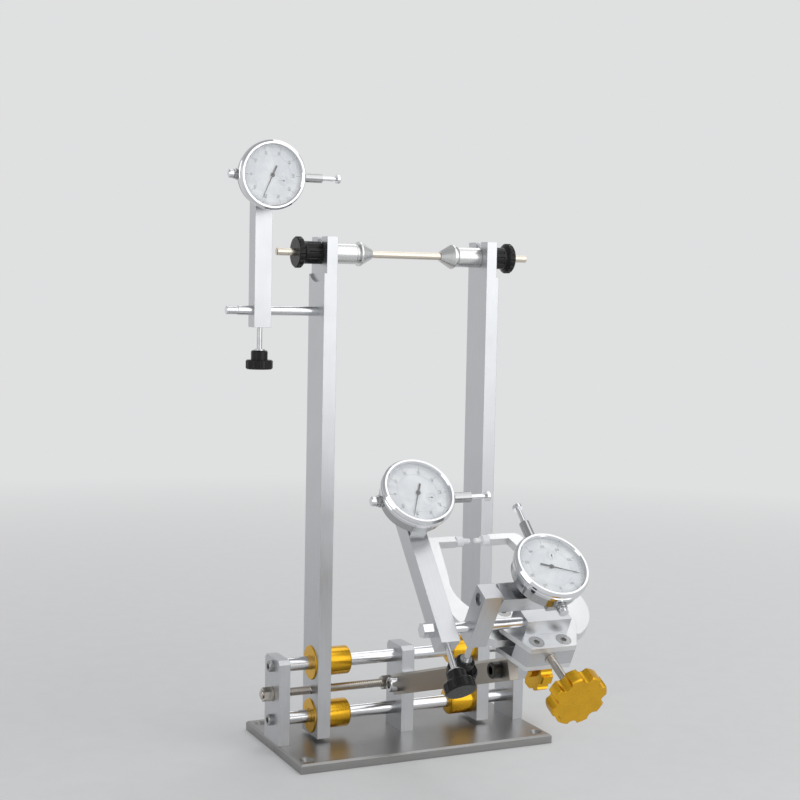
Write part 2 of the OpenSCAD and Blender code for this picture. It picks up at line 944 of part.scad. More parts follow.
module yoke_outline() {
    flare_back = (yoke_back_w - yoke_front_w) / 2 / tan(yoke_flare);
    polygon([
        [-yoke_front_w / 2, 0], [yoke_front_w / 2, 0], [yoke_back_w / 2, flare_back],
        [yoke_back_w / 2, yoke_len], [-yoke_back_w / 2, yoke_len],
        [-yoke_back_w / 2, flare_back]
    ]);
}

module yoke_top_plate() {
    color(alloy)
        on_yoke()
            difference() {
                translate([0, 0, -yoke_top_t])
                    linear_extrude(height = yoke_top_t)
                        yoke_outline();
                yoke_screw_places()
                    translate([0, 0, -flat_cone()])
                        flat_hole(yoke_total);
            }
}

// The four screws of the yoke: two in front hold the block, two behind are the pivots
module yoke_screw_places() {
    for (sx = [-1, 1]) {
        translate([sx * front_screw_x, front_screw_back, 0])
            children();
        translate([sx * calliper_x, calliper_back, 0])
            children();
    }
}

module yoke_lower_plate() {
    color(alloy)
        on_yoke()
            difference() {
                translate([0, 0, -yoke_total])
                    linear_extrude(height = yoke_low_t)
                        yoke_outline();
                yoke_screw_places()
                    translate([0, 0, -yoke_total - cut])
                        cylinder(h = yoke_total, d = flat_screw_d + 2 * run_gap);
            }
}

module yoke_front_block() {
    color("gray")
        on_yoke()
            difference() {
                translate([0, 0, -yoke_top_t - channel_h])
                    linear_extrude(height = channel_h)
                        intersection() {
                            yoke_outline();
                            translate([-yoke_back_w, 0])
                                square([2 * yoke_back_w, block_len]);
                        }
                yoke_screw_places()
                    translate([0, 0, -yoke_total])
                        cylinder(h = yoke_total, d = flat_screw_d + 2 * run_gap);
                adjuster_line()
                    translate([0, 0, -cut])
                        cylinder(h = block_len + 2 * cut, d = adjust_d + 2 * run_gap);
            }
}

// Puts children on the adjuster screw: z = 0 is the yoke's front and +Z runs back
module adjuster_line() {
    translate([0, 0, -adjust_drop])
        rotate([-90, 0, 0])
            children();
}

module yoke_screws() {
    color("dimgray")
        on_yoke()
            yoke_screw_places()
                translate([0, 0, -flat_cone()])
                    flat_screw(yoke_total);
}

module tilt_lug() {
    top = pivot_drop - yoke_total;
    color(alloy)
        translate([0, tilt_y, tilt_z])
            rotate([yoke_slope, 0, 0])
                difference() {
                    slab_x(post_left, post_left + tilt_lug_t) {
                        circle(r = lug_r);
                        polygon([
                            [-lug_r, 0], [lug_r, 0], [tilt_lug_w / 2, top - lug_r],
                            [tilt_lug_w / 2, top], [-tilt_lug_w / 2, top],
                            [-tilt_lug_w / 2, top - lug_r]
                        ]);
                    }
                    bar_x(post_left - cut, post_left + tilt_lug_t + cut,
                        pivot_d + 2 * run_gap);
                }
}

module shaft_block() {
    color(alloy)
        on_yoke()
            difference() {
                translate([-shaft_block_half, shaft_block_back, 0])
                    cube([2 * shaft_block_half, shaft_block_len, shaft_block_h]);
                translate([0, shaft_back, shaft_up])
                    bar_x(-shaft_block_half - cut, shaft_block_half + cut,
                        shaft_d + 2 * run_gap);
            }
}

module gauge_shaft() {
    color(chrome)
        on_yoke()
            translate([0, shaft_back, shaft_up]) {
                bar_x(-shaft_reach, shaft_block_half, shaft_d);
                translate([-shaft_reach - shaft_head_len, 0, 0])
                    rotate([0, 90, 0])
                        cylinder(h = shaft_head_len, d = shaft_head_af / cos(30), $fn = 6);
            }
}

// Callipers

// The point just inside a circle, centred on c, where a line from p would touch its right side
function touch(c, r, p) = c + (r - touch_in) * [cos(touch_angle(c, r, p)), sin(touch_angle(c, r, p))];

function touch_angle(c, r, p) = atan2(p[1] - c[1], p[0] - c[0]) - acos(r / norm(p - c));

// The right arm's outline from above: x away from the middle, y back from the front
module calliper_outline() {
    bar_front = tip_back - tip_bar_w / 2;
    inner_x = elbow_x - elbow_r - elbow_in;
    difference() {
        union() {
            intersection() {
                translate([lobe_x, lobe_back])
                    circle(r = lobe_r);
                translate([flank_x, flank_back])
                    square(2 * lobe_r);
            }
            polygon([
                [inner_x, bar_front + cut], [inner_x, bar_front],
                touch([throat_x, throat_back], throat_r, [inner_x, bar_front]),
                touch([lobe_x, lobe_back], lobe_r, [elbow_x, bar_front]),
                [elbow_x, bar_front], [elbow_x - elbow_r, bar_front + cut]
            ]);
            intersection() {
                translate([elbow_x - elbow_r, bar_front])
                    circle(r = elbow_r);
                translate([elbow_x - elbow_r - cut, bar_front])
                    square(elbow_r + 2 * cut);
            }
            translate([tip_bar_x, bar_front])
                square([elbow_x - elbow_r - tip_bar_x, tip_bar_w]);
        }
        translate([throat_x, throat_back])
            circle(r = throat_r);
    }
    translate([calliper_x, calliper_back])
        circle(r = hub_r);
}

module calliper(sx) {
    boss_h = channel_h / 2 - face_gap;
    color("whitesmoke")
        on_yoke()
            mirror([sx < 0 ? 1 : 0, 0, 0])
                translate([0, 0, channel_mid])
                    difference() {
                        union() {
                            translate([0, 0, -calliper_t / 2])
                                linear_extrude(height = calliper_t)
                                    calliper_outline();
                            translate([calliper_x, calliper_back, -boss_h])
                                cylinder(h = 2 * boss_h, r = hub_r - 1);
                        }
                        translate([calliper_x, calliper_back, -boss_h - cut])
                            cylinder(h = 2 * boss_h + 2 * cut, d = flat_screw_d + 2 * run_gap);
                        translate([0, tip_back, 0])
                            bar_x(tip_bar_x - cut, tip_bar_x + spigot_len + face_gap, nylon_d / 2);
                    }
}

module calliper_left() {
    calliper(-1);
}

module calliper_right() {
    calliper(1);
}

// A nylon tip: a stepped rod with a round nose, held by a spigot in the tip bar
module tip(sx) {
    nose = nylon_nose_d / 2;
    spigot_r = nylon_d / 4 - run_gap;
    step = tip_bar_x - 6;
    taper = 1.5;
    color("white")
        on_yoke()
            mirror([sx < 0 ? 1 : 0, 0, 0])
                translate([0, tip_back, channel_mid]) {
                    turned_x([
                        [0, tip_gap / 2 + nose], [nose, tip_gap / 2 + nose],
                        [nose, step - taper], [nylon_d / 2, step],
                        [nylon_d / 2, tip_bar_x], [spigot_r, tip_bar_x],
                        [spigot_r, tip_bar_x + spigot_len], [0, tip_bar_x + spigot_len]
                    ]);
                    translate([tip_gap / 2 + nose, 0, 0])
                        sphere(r = nose);
                }
}

module tip_left() {
    tip(-1);
}

module tip_right() {
    tip(1);
}

// Adjuster

module adjuster_screw() {
    thrust_t = 0.8;
    thrust_over = 3;
    color(steel)
        on_yoke()
            adjuster_line() {
                translate([0, 0, -adjust_reach - knob_t])
                    cylinder(h = adjust_reach + knob_t + spread_back + adjust_tail, d = adjust_d);
                translate([0, 0, -thrust_t - face_gap])
                    cylinder(h = thrust_t, d = adjust_d + thrust_over);
            }
}

module adjuster_knob() {
    color(gold)
        on_yoke()
            adjuster_line()
                translate([0, 0, -adjust_reach])
                    mirror([0, 0, 1])
                        gold_knob(adjust_d + 2 * run_gap, 0);
}

module spreader_cone() {
    bore = adjust_d / 2 + run_gap;
    taper = spread_r - spread_nose_r;
    color(steel)
        on_yoke()
            adjuster_line()
                intersection() {
                    rotate_extrude()
                        polygon([
                            [bore, spread_back - spread_len], [spread_r, spread_back - spread_len],
                            [spread_r, spread_back], [spread_nose_r, spread_back + taper],
                            [bore, spread_back + taper]
                        ]);
                    translate([-2 * spread_r, -channel_h / 2 + face_gap, 0])
                        cube([4 * spread_r, channel_h - 2 * face_gap, 2 * spread_back]);
                }
}

// Gauges: drawn with the dial facing +Z at z = 0 and the plunger pointing along +X

module gauge_case(lug_turn) {
    collar_d = stem_d + 1.6;
    color("dimgray")
        difference() {
            union() {
                rotate_extrude()
                    polygon([
                        [0, 0], [case_r - case_step, 0], [case_r - case_step, -1.5], [case_r, -1.5],
                        [case_r, -case_depth + 2.5], [case_r - 1, -case_depth + 2.5],
                        [case_r - 1, -case_depth + 0.8], [case_r - 1.8, -case_depth],
                        [0, -case_depth]
                    ]);
                translate([0, 0, -plunger_depth]) {
                    bar_x(-cap_reach, 0, stem_d);
                    bar_x(0, stem_reach, stem_d);
                    bar_x(case_r - 3, case_r + 3.5, collar_d);
                    bar_x(-case_r - 2, -case_r + 3, collar_d);
                }
                rotate([0, 0, lug_turn])
                    translate([-lug_w / 2, -case_r + 2, -lug_face])
                        cube([lug_w, case_r + 5, lug_t + cut]);
            }
            translate([0, 0, -plunger_depth])
                bar_x(-cap_reach - cut, stem_reach + cut, plunger_d + 2 * run_gap);
            translate([0, 0, -spindle_hole])
                cylinder(h = spindle_hole + cut, d = spindle_d + 2 * run_gap);
        }
}

module gauge_bezel() {
    top = 4.4;
    outer = bezel_d / 2;
    color(chrome)
        rotate_extrude()
            polygon([
                [case_r + run_gap, top - bezel_h], [outer - 0.8, top - bezel_h],
                [outer, top - bezel_h + 0.8], [outer, top - bezel_h + 3.2],
                [outer - 0.7, top - bezel_h + 3.8], [outer - 0.7, top - bezel_h + 4.6],
                [outer, top - bezel_h + 5.2], [outer, top - 1.8], [outer - 1.5, top],
                [crystal_r + 0.8, top], [crystal_r, top - 0.8], [crystal_r, 0.3],
                [case_r - case_step + run_gap, 0.3], [case_r - case_step + run_gap, -1.4],
                [case_r + run_gap, -1.4]
            ]);
}

module gauge_glass() {
    glass_z = 2.4;
    glass_t = 1.2;
    color([0.85, 0.92, 0.95, 0.4])
        translate([0, 0, glass_z])
            cylinder(h = glass_t, r = crystal_r - run_gap / 2);
}

module gauge_hand(turn) {
    hub_h = 1;
    hub_z = 0.8;
    blade_t = 0.4;
    spindle_top = 1.7;
    color(black)
        rotate([0, 0, turn]) {
            translate([0, 0, -spindle_hole + face_gap])
                cylinder(h = spindle_hole - face_gap + spindle_top, d = spindle_d);
            translate([0, 0, hub_z])
                cylinder(h = hub_h, d = 2.4 * spindle_d);
            translate([0, 0, hub_z + 0.1])
                linear_extrude(height = blade_t)
                    polygon([
                        [-hand_tail, -0.9], [0, -0.7], [hand_len, -0.2],
                        [hand_len, 0.2], [0, 0.7], [-hand_tail, 0.9]
                    ]);
        }
}

module gauge_plunger() {
    r = plunger_d / 2;
    tail = -cap_reach - face_gap;
    color(chrome)
        translate([0, 0, -plunger_depth])
            turned_x([
                [0, tail - cap_len], [r + 0.8, tail - cap_len], [r + 1.6, tail - cap_len + 0.8],
                [r + 1.6, tail], [r, tail], [r, plunger_reach - disc_t - 3],
                [r - 0.6, plunger_reach - disc_t - 3], [r - 0.6, plunger_reach - disc_t],
                [disc_d / 2, plunger_reach - disc_t], [disc_d / 2, plunger_reach - 0.8],
                [disc_d / 2 - 0.8, plunger_reach], [0, plunger_reach]
            ]);
}

// A square bar along Z that clamps on a shaft along X through the origin, up to z = up
module gauge_bar(up) {
    difference() {
        translate([-bar_w / 2, -bar_w / 2, -bar_below])
            cube([bar_w, bar_w, bar_below + up]);
        bar_x(-bar_w, bar_w, shaft_d + 2 * run_gap);
        translate([0, 0, -bar_below - cut])
            cylinder(h = bar_below + cut, d = stud_d + 2 * run_gap);
    }
}

// The clamp knob with its stud, below the bar on the same axis
module clamp_knob() {
    bottom = -bar_below - stud_bare - clamp_neck - clamp_h;
    total = clamp_neck + clamp_h;
    edge = 1;
    flange_t = 1.2;
    color(black)
        translate([0, 0, bottom]) {
            fluted(clamp_d / 2, 14, 1.3, total)
                rotate_extrude()
                    polygon([
                        [0, 0], [clamp_d / 2 - edge, 0], [clamp_d / 2, edge],
                        [clamp_d / 2, clamp_h - edge], [clamp_d / 2 - edge, clamp_h],
                        [clamp_neck_d / 2, clamp_h], [clamp_neck_d / 2, total - edge],
                        [clamp_neck_d / 2 - edge, total], [0, total]
                    ]);
            cylinder(h = -bottom - shaft_d / 2 - face_gap, d = stud_d);
            translate([0, 0, total - cut])
                cylinder(h = cut + flange_t, d = 2 * stud_d);
        }
}

// Puts a gauge's own frame on its bar: up the bar by `up`, plunger turned by `turn`
module on_bar(up, turn) {
    translate([0, -gauge_out, up])
        rotate([90, 0, 0])
            rotate([0, 0, turn])
                children();
}

module at_top() {
    translate([-top_bar_out, line_y, top_rod_z])
        children();
}

module at_side() {
    on_yoke()
        translate([side_gauge_x, shaft_back, shaft_up])
            rotate([-yoke_slope - side_lean, 0, 0])
                children();
}

module at_rim() {
    on_yoke()
        translate([rim_bar_x, shaft_back, shaft_up])
            rotate([-yoke_slope + rim_lean, 0, 0])
                children();
}

// The rim gauge hangs on a cross bar at the top of its bar, with its face turned back
module at_rim_face() {
    at_rim()
        translate([rim_gauge_x - rim_bar_x, 0, rim_bar_up - bar_w / 2])
            rotate([-rim_lean - rim_face_lean, 0, 0])
                children();
}

// Angles of the long hands, from the plunger's direction
top_hand_turn = 246;
side_hand_turn = 262;
rim_hand_turn = 250;

module top_case() {
    at_top() on_bar(top_gauge_up, 0) gauge_case(0);
}

module top_bezel() {
    at_top() on_bar(top_gauge_up, 0) gauge_bezel();
}

module top_glass() {
    at_top() on_bar(top_gauge_up, 0) gauge_glass();
}

module top_hand() {
    at_top() on_bar(top_gauge_up, 0) gauge_hand(top_hand_turn);
}

module top_plunger() {
    at_top() on_bar(top_gauge_up, 0) gauge_plunger();
}

module top_bar() {
    color(alloy) at_top() gauge_bar(top_gauge_up + bar_w / 2);
}

module top_clamp_knob() {
    at_top() clamp_knob();
}

module side_case() {
    at_side() on_bar(side_gauge_up, 0) gauge_case(0);
}

module side_bezel() {
    at_side() on_bar(side_gauge_up, 0) gauge_bezel();
}

module side_glass() {
    at_side() on_bar(side_gauge_up, 0) gauge_glass();
}

module side_hand() {
    at_side() on_bar(side_gauge_up, 0) gauge_hand(side_hand_turn);
}

module side_plunger() {
    at_side() on_bar(side_gauge_up, 0) gauge_plunger();
}

module side_bar() {
    color(alloy) at_side() gauge_bar(side_gauge_up + bar_w / 2);
}

module side_clamp_knob() {
    at_side() clamp_knob();
}

module rim_case() {
    at_rim_face() on_bar(rim_gauge_past, 90) gauge_case(-90);
}

module rim_bezel() {
    at_rim_face() on_bar(rim_gauge_past, 90) gauge_bezel();
}

module rim_glass() {
    at_rim_face() on_bar(rim_gauge_past, 90) gauge_glass();
}

module rim_hand() {
    at_rim_face() on_bar(rim_gauge_past, 90) gauge_hand(rim_hand_turn);
}

module rim_plunger() {
    at_rim_face() on_bar(rim_gauge_past, 90) gauge_plunger();
}

// The rim gauge's bar, with the socket screw that holds the cross bar
module rim_bar() {
    color(alloy)
        at_rim()
            difference() {
                gauge_bar(rim_bar_up);
                translate([0, 0, rim_bar_up - bar_w / 2]) {
                    bar_x(-bar_w, bar_w, frame_screw_d + 2 * run_gap);
                    bar_x(-bar_w, -bar_w / 2 + frame_head_h, frame_head_d - 1);
                }
            }
}

module rim_cross_bar() {
    left = rim_bar_x + bar_w / 2 - rim_gauge_x;
    color(alloy)
        at_rim_face()
            difference() {
                translate([left, -bar_w / 2, -bar_w / 2])
                    cube([bar_w / 2 - left, bar_w, bar_w]);
                bar_x(left - cut, left + frame_thread, frame_screw_d + 2 * run_gap);
            }
}

module rim_clamp_knob() {
    at_rim() clamp_knob();
}

base_plate();
end_plate_left();
end_plate_right();
centre_post();
guide_rod_lower();
guide_rod_upper();
frame_screws();
lead_screw();
lead_screw_nuts();
lead_screw_knob();
upright_left();
upright_right();
bushings_left();
bushings_right();
top_gauge_rod();
axle_rod();
cone_left();
cone_right();
sleeve_left();
sleeve_right();
axle_nut_left();
axle_nut_right();
swing_arm();
arm_pivot_screws();
yoke_top_plate();
yoke_lower_plate();
yoke_front_block();
tilt_lug();
shaft_block();
gauge_shaft();
yoke_screws();
calliper_left();
calliper_right();
tip_left();
tip_right();
adjuster_screw();
adjuster_knob();
spreader_cone();
top_case();
top_bezel();
top_glass();
top_hand();
top_plunger();
top_bar();
top_clamp_knob();
side_case();
side_bezel();
side_glass();
side_hand();
side_plunger();
side_bar();
side_clamp_knob();
rim_case();
rim_bezel();
rim_glass();
rim_hand();
rim_plunger();
rim_bar();
rim_cross_bar();
rim_clamp_knob();
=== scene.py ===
"""Looks of the bicycle wheel truing stand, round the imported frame.

Materials for every CAD node, dials and hands, the lead screw's thread, turned rods and sleeves,
and a studio with its camera and lamps. Lengths are in metres. X runs right along the rods,
Y back and Z up.
"""

from collections import namedtuple
from math import cos, pi, radians, sin, tau

import bmesh
import bpy
from mathutils import Matrix, Vector


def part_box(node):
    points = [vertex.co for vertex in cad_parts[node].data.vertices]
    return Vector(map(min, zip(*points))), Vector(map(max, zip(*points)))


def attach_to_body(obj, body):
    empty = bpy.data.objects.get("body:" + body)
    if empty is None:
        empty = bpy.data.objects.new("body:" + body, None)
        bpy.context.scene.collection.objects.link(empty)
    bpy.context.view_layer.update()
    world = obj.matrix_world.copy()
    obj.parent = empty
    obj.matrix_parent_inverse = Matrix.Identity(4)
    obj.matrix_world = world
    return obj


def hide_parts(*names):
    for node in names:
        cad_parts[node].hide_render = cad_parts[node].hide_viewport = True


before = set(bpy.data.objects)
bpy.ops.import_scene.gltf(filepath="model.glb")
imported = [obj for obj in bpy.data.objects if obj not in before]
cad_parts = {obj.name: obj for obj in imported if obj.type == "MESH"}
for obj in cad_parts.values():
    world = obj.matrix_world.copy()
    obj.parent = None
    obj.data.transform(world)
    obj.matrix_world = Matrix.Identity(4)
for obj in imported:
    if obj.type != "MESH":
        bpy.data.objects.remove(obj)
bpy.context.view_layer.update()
scene = bpy.context.scene


def frame_at(origin, x, y, z):
    """The matrix that moves a piece into a frame with this origin and these axes."""
    return Matrix.Translation(origin) @ Matrix((x, y, z)).transposed().to_4x4()


# Camera: the photograph's viewpoint, with its small roll

EYE = Vector((-0.5625, -1.1929, 0.3985))
FORWARD = Vector((0.42298, 0.90332, -0.0714)).normalized()
ROLL = radians(1.113)
LENS, SENSOR = 67.0, 36

level = FORWARD.cross(Vector((0, 0, 1))).normalized()
upward = level.cross(FORWARD)
right = level * cos(ROLL) + upward * sin(ROLL)
up = upward * cos(ROLL) - level * sin(ROLL)
camera = bpy.data.objects.new("camera", bpy.data.cameras.new("camera"))
camera.data.lens = LENS
camera.data.sensor_width = SENSOR
camera.matrix_world = frame_at(EYE, right, up, -FORWARD)
scene.collection.objects.link(camera)
scene.camera = camera
scene.view_settings.view_transform = "Standard"


# Materials

# Noise, in times a metre: the specks of a plain surface, patches of polish, wear and smudges
SPECKS, POLISH, WEAR, SMUDGES = 900, 28, 60, 90
FINE_DETAIL = 4.0
# The part of a noise's range over which a colour changes, for lines and for moulded wear
LINE_RANGE, WEAR_RANGE = (0.25, 0.75), (0.45, 0.8)
# Worn patches: the share of a coat's colour that is left, and a moulded one's gain and lift
COAT_WORN, MOULDED_GAIN, MOULDED_LIFT = 0.85, 1.4, 0.002
# How much the roughness varies either way
COAT_SPREAD, MOULDED_SPREAD = 0.05, 0.08
COAT_DEPTH, COAT_EDGE = 1e-6, 0.0003
GLASS_TINT, GLASS_ALPHA, GLASS_ROUGH, GLASS_DEPTH = (0.93, 0.96, 0.97, 1), 0.1, (0.02, 0.07), 1e-7
BEVEL_SAMPLES = 4
# Specular IOR Level of black plastic and of the two-part finishes
LOW_SHEEN = 0.3
# Sockets of a Mix node that is set to colours
FACTOR, FIRST, SECOND, RESULT = 0, 6, 7, 2

Coat = namedtuple("Coat", "colour metallic rough")


class Shader:
    """A material with a Principled shader, and short names for the nodes used below."""

    def __init__(self, name):
        self.material = bpy.data.materials.new(name)
        self.material.use_nodes = True
        self.tree = self.material.node_tree
        self.tree.nodes.clear()
        self.out = self.add("ShaderNodeOutputMaterial")
        self.bsdf = self.add("ShaderNodeBsdfPrincipled")
        self.link(self.bsdf.outputs[0], self.out.inputs[0])
        self.place = self.add("ShaderNodeTexCoord").outputs["Object"]

    def add(self, kind, **inputs):
        node = self.tree.nodes.new(kind)
        for key, value in inputs.items():
            self.put(node, key.replace("_", " "), value)
        return node

    def put(self, node, key, value):
        """Links an input to a socket, or sets it to a value."""
        socket = node.inputs[key]
        if isinstance(value, bpy.types.NodeSocket):
            self.link(value, socket)
        else:
            socket.default_value = value

    def link(self, a, b):
        self.tree.links.new(a, b)

    def set(self, **inputs):
        for key, value in inputs.items():
            self.put(self.bsdf, key.replace("_", " "), value)

    def noise(self, scale, detail=3.0, rough=0.55, at=None):
        node = self.add("ShaderNodeTexNoise", Scale=scale, Detail=detail, Roughness=rough)
        self.put(node, "Vector", at or self.place)
        return node.outputs["Fac"]

    def stretched(self, direction, along, across):
        """Noise that varies `along` times a metre along the direction, `across` times across."""
        x = Vector(direction).normalized()
        y = x.orthogonal().normalized()
        angles = Matrix((x, y, x.cross(y))).to_euler()
        turn = self.add("ShaderNodeMapping", Vector=self.place, Rotation=angles)
        scale = (along, across, across)
        size = self.add("ShaderNodeMapping", Vector=turn.outputs[0], Scale=scale)
        return self.noise(1.0, rough=0.6, at=size.outputs[0])

    def ramp(self, value, low, high, start=0.3, end=0.7):
        """Maps a value's range from start to end onto low to high."""
        node = self.add(
            "ShaderNodeMapRange",
            Value=value,
            From_Min=start,
            From_Max=end,
            To_Min=low,
            To_Max=high,
        )
        return node.outputs["Result"]

    def math(self, kind, a, b):
        node = self.add("ShaderNodeMath")
        node.operation = kind
        self.put(node, 0, a)
        self.put(node, 1, b)
        return node.outputs[0]

    def measure(self, kind, vector=None):
        """The length of the place in the object, or its dot product with a vector."""
        node = self.add("ShaderNodeVectorMath")
        node.operation = kind
        self.put(node, 0, self.place)
        if vector is not None:
            self.put(node, 1, vector)
        return node.outputs["Value"]

    def blend(self, share, first, second):
        """A mix of two colours, each of them three numbers or a socket."""
        node = self.add("ShaderNodeMix")
        node.data_type = "RGBA"
        self.put(node, FACTOR, share)
        for key, colour in ((FIRST, first), (SECOND, second)):
            is_socket = isinstance(colour, bpy.types.NodeSocket)
            self.put(node, key, colour if is_socket else (*colour, 1))
        return node.outputs[RESULT]

    def relief(self, height, depth, edge=0.0):
        """Bump of that depth, over edges rounded by `edge`."""
        bump = self.add("ShaderNodeBump", Strength=1.0, Distance=depth, Height=height)
        if edge:
            bevel = self.add("ShaderNodeBevel", Radius=edge)
            bevel.samples = BEVEL_SAMPLES
            self.put(bump, "Normal", bevel.outputs[0])
        self.set(Normal=bump.outputs[0])


def metal(
    name,
    colour,
    rough,
    grain=None,
    along=30,
    across=1800,
    depth=6e-6,
    edge=0.0004,
    shade=0.9,
    spread=0.08,
):
    """A metal with fine lines along `grain`, or specks without one, and patches of polish.

    `shade` is the lines' share of the colour, `depth` their relief, `spread` how much the
    roughness varies, and `edge` the radius of rounded edges.
    """
    s = Shader(name)
    lines = s.stretched(grain, along, across) if grain else s.noise(SPECKS)
    dark = [c * shade for c in colour]
    s.set(Metallic=1.0, Base_Color=s.blend(s.ramp(lines, 0, 1, *LINE_RANGE), dark, colour))
    polish = s.ramp(s.noise(POLISH, FINE_DETAIL), -spread / 2, spread / 2)
    brushing = s.ramp(lines, rough - spread / 2, rough + spread / 2)
    s.set(Roughness=s.math("ADD", brushing, polish))
    s.relief(lines, depth, edge)
    return s.material


def two_part(name, near, far, direction, limit):
    """A material that changes from one coat to another at a limit along a direction."""
    s = Shader(name)
    side = s.math("GREATER_THAN", s.measure("DOT_PRODUCT", Vector(direction).normalized()), limit)
    specks = s.noise(SPECKS, FINE_DETAIL)
    dark, light = (
        s.blend(side, [c * k for c in near.colour], [c * k for c in far.colour])
        for k in (COAT_WORN, 1.0)
    )
    metallic = near.metallic
    if metallic != far.metallic:
        metallic = s.ramp(side, near.metallic, far.metallic, 0, 1)
    s.set(Base_Color=s.blend(s.ramp(s.noise(WEAR), 0, 1), dark, light), Metallic=metallic)
    rough = s.ramp(side, near.rough, far.rough, 0, 1)
    s.set(Roughness=s.math("ADD", rough, s.ramp(specks, -COAT_SPREAD, COAT_SPREAD)))
    s.set(Specular_IOR_Level=LOW_SHEEN)
    s.relief(specks, COAT_DEPTH, COAT_EDGE)
    return s.material


def moulded(name, colour, rough, grain, depth, edge=0.0003, **inputs):
    """A moulded or enamelled surface with fine specks, and other inputs of its shader."""
    s = Shader(name)
    specks = s.noise(grain, FINE_DETAIL)
    lighter = [min(1, c * MOULDED_GAIN + MOULDED_LIFT) for c in colour]
    s.set(Base_Color=s.blend(s.ramp(s.noise(WEAR), 0, 1, *WEAR_RANGE), colour, lighter))
    s.set(Roughness=s.ramp(specks, rough - MOULDED_SPREAD, rough + MOULDED_SPREAD), **inputs)
    s.relief(specks, depth, edge)
    return s.material


def clear_glass(name):
    s = Shader(name)
    smudges = s.noise(SMUDGES, FINE_DETAIL)
    s.set(Base_Color=GLASS_TINT, Alpha=GLASS_ALPHA, IOR=1.5)
    s.set(Roughness=s.ramp(smudges, *GLASS_ROUGH))
    s.relief(smudges, GLASS_DEPTH)
    return s.material


X, Y, Z = (1, 0, 0), (0, 1, 0), (0, 0, 1)
ARM_RISE, YOKE_SLOPE = radians(17.2), radians(27.5)
SIDE_LEAN, RIM_LEAN, RIM_BAR_LEAN = radians(40.5), radians(47), radians(31)
along_arm = (0, cos(ARM_RISE), -sin(ARM_RISE))
along_yoke = (0, cos(YOKE_SLOPE), sin(YOKE_SLOPE))
yoke_up = (0, -sin(YOKE_SLOPE), cos(YOKE_SLOPE))
side_bar_up = (0, sin(SIDE_LEAN), cos(SIDE_LEAN))
rim_bar_up = (0, -sin(RIM_BAR_LEAN), cos(RIM_BAR_LEAN))

ALLOY = (0.61, 0.62, 0.64)
# The base plate's alloy is darker than ALLOY: painted shade, standing for the dark surroundings
# that the plate reflects
ALLOY_PAINTED_DARK = (0.37, 0.365, 0.36)
SATIN = (0.8, 0.81, 0.82)
GOLD = (0.83, 0.46, 0.03)
STEEL = (0.6, 0.56, 0.51)
ARM_STEEL = (0.42, 0.39, 0.35)
SCREW_STEEL = (0.42, 0.42, 0.42)
HUB_STEEL = (0.74, 0.74, 0.74)
WARM_STEEL = (0.74, 0.68, 0.59)
CHROME = (0.76, 0.77, 0.79)
# The gauge cases' polished metal is darker than the chrome: painted shade, standing for the dark
# surroundings that the polished case reflects
CASE_METAL_PAINTED_DARK = (0.5, 0.505, 0.51)
INK = (0.006, 0.006, 0.0066)
NYLON = (0.8, 0.81, 0.84)
NYLON_DEPTH = (0.002, 0.002, 0.002)
HAND_ENAMEL = (0.012, 0.012, 0.014)
DIAL_ENAMEL = (0.74, 0.76, 0.79)
DIAL_PRINT = (0.1, 0.105, 0.115)

BLACK_STEEL = Coat((0.06, 0.058, 0.056), 1.0, 0.33)
BRIGHT_STEEL = Coat((0.68, 0.68, 0.69), 1.0, 0.2)
BLACK_PLASTIC = Coat(INK, 0.0, 0.28)

# The arm's pivot screw in front of this Y is black, the one behind it bright
BETWEEN_PIVOTS = -0.11

# Fine rings of turned steel and of anodised metal, for an axis given beside them
TURNED = {"along": 3200, "across": 60, "depth": 3e-6, "edge": 0}
ANODISED = {"along": 2400, "across": 80}

alloy_z = metal("brushed_aluminium_z", ALLOY, 0.33, Z)
# The base plate's brushed metal, with painted shade in its darker colour
base_alloy_painted_shade = metal("base_plate_aluminium_painted_shade", ALLOY_PAINTED_DARK, 0.34, X, shade=0.86, edge=0.0006)
arm_steel = metal("swing_arm_steel", ARM_STEEL, 0.36, along_arm, shade=0.85)
yoke_alloy = metal("yoke_aluminium", SATIN, 0.38, along_yoke)
block_alloy = metal("block_aluminium", ALLOY, 0.33, X, along=40)
lug_alloy = metal("tilt_lug_aluminium", ALLOY, 0.33, yoke_up)
side_bar_alloy = metal("side_bar_aluminium", ALLOY, 0.33, side_bar_up)
rim_bar_alloy = metal("rim_bar_aluminium", ALLOY, 0.33, rim_bar_up)
steel_x = metal("turned_steel_x", STEEL, 0.24, X, **TURNED)
hub_steel = metal("bright_steel_x", HUB_STEEL, 0.26, X, **{**TURNED, "along": 2600})
adjuster_steel = metal("turned_steel_yoke", STEEL, 0.24, along_yoke, **TURNED)
gold_x = metal(
    "gold_anodised_x", GOLD, 0.24, X, depth=8e-7, edge=0.0005, shade=0.88, **ANODISED
)
gold_yoke, gold_face = (
    metal(name, GOLD, 0.3, along_yoke, depth=1e-6, edge=edge, shade=0.85, **ANODISED)
    for name, edge in (("gold_anodised_yoke", 0.0006), ("gold_anodised_face", 0))
)
axle_steel = metal(
    "warm_steel_x", WARM_STEEL, 0.22, X, along=60, across=500, depth=2e-7, edge=0, shade=0.92
)
chrome_x = metal(
    "chrome_rod", CHROME, 0.2, X, along=40, across=300, depth=3e-8, edge=0, shade=0.96, spread=0.03
)
chrome = metal("chrome_plate", CHROME, 0.1, depth=2e-7, edge=0, shade=0.94, spread=0.04)
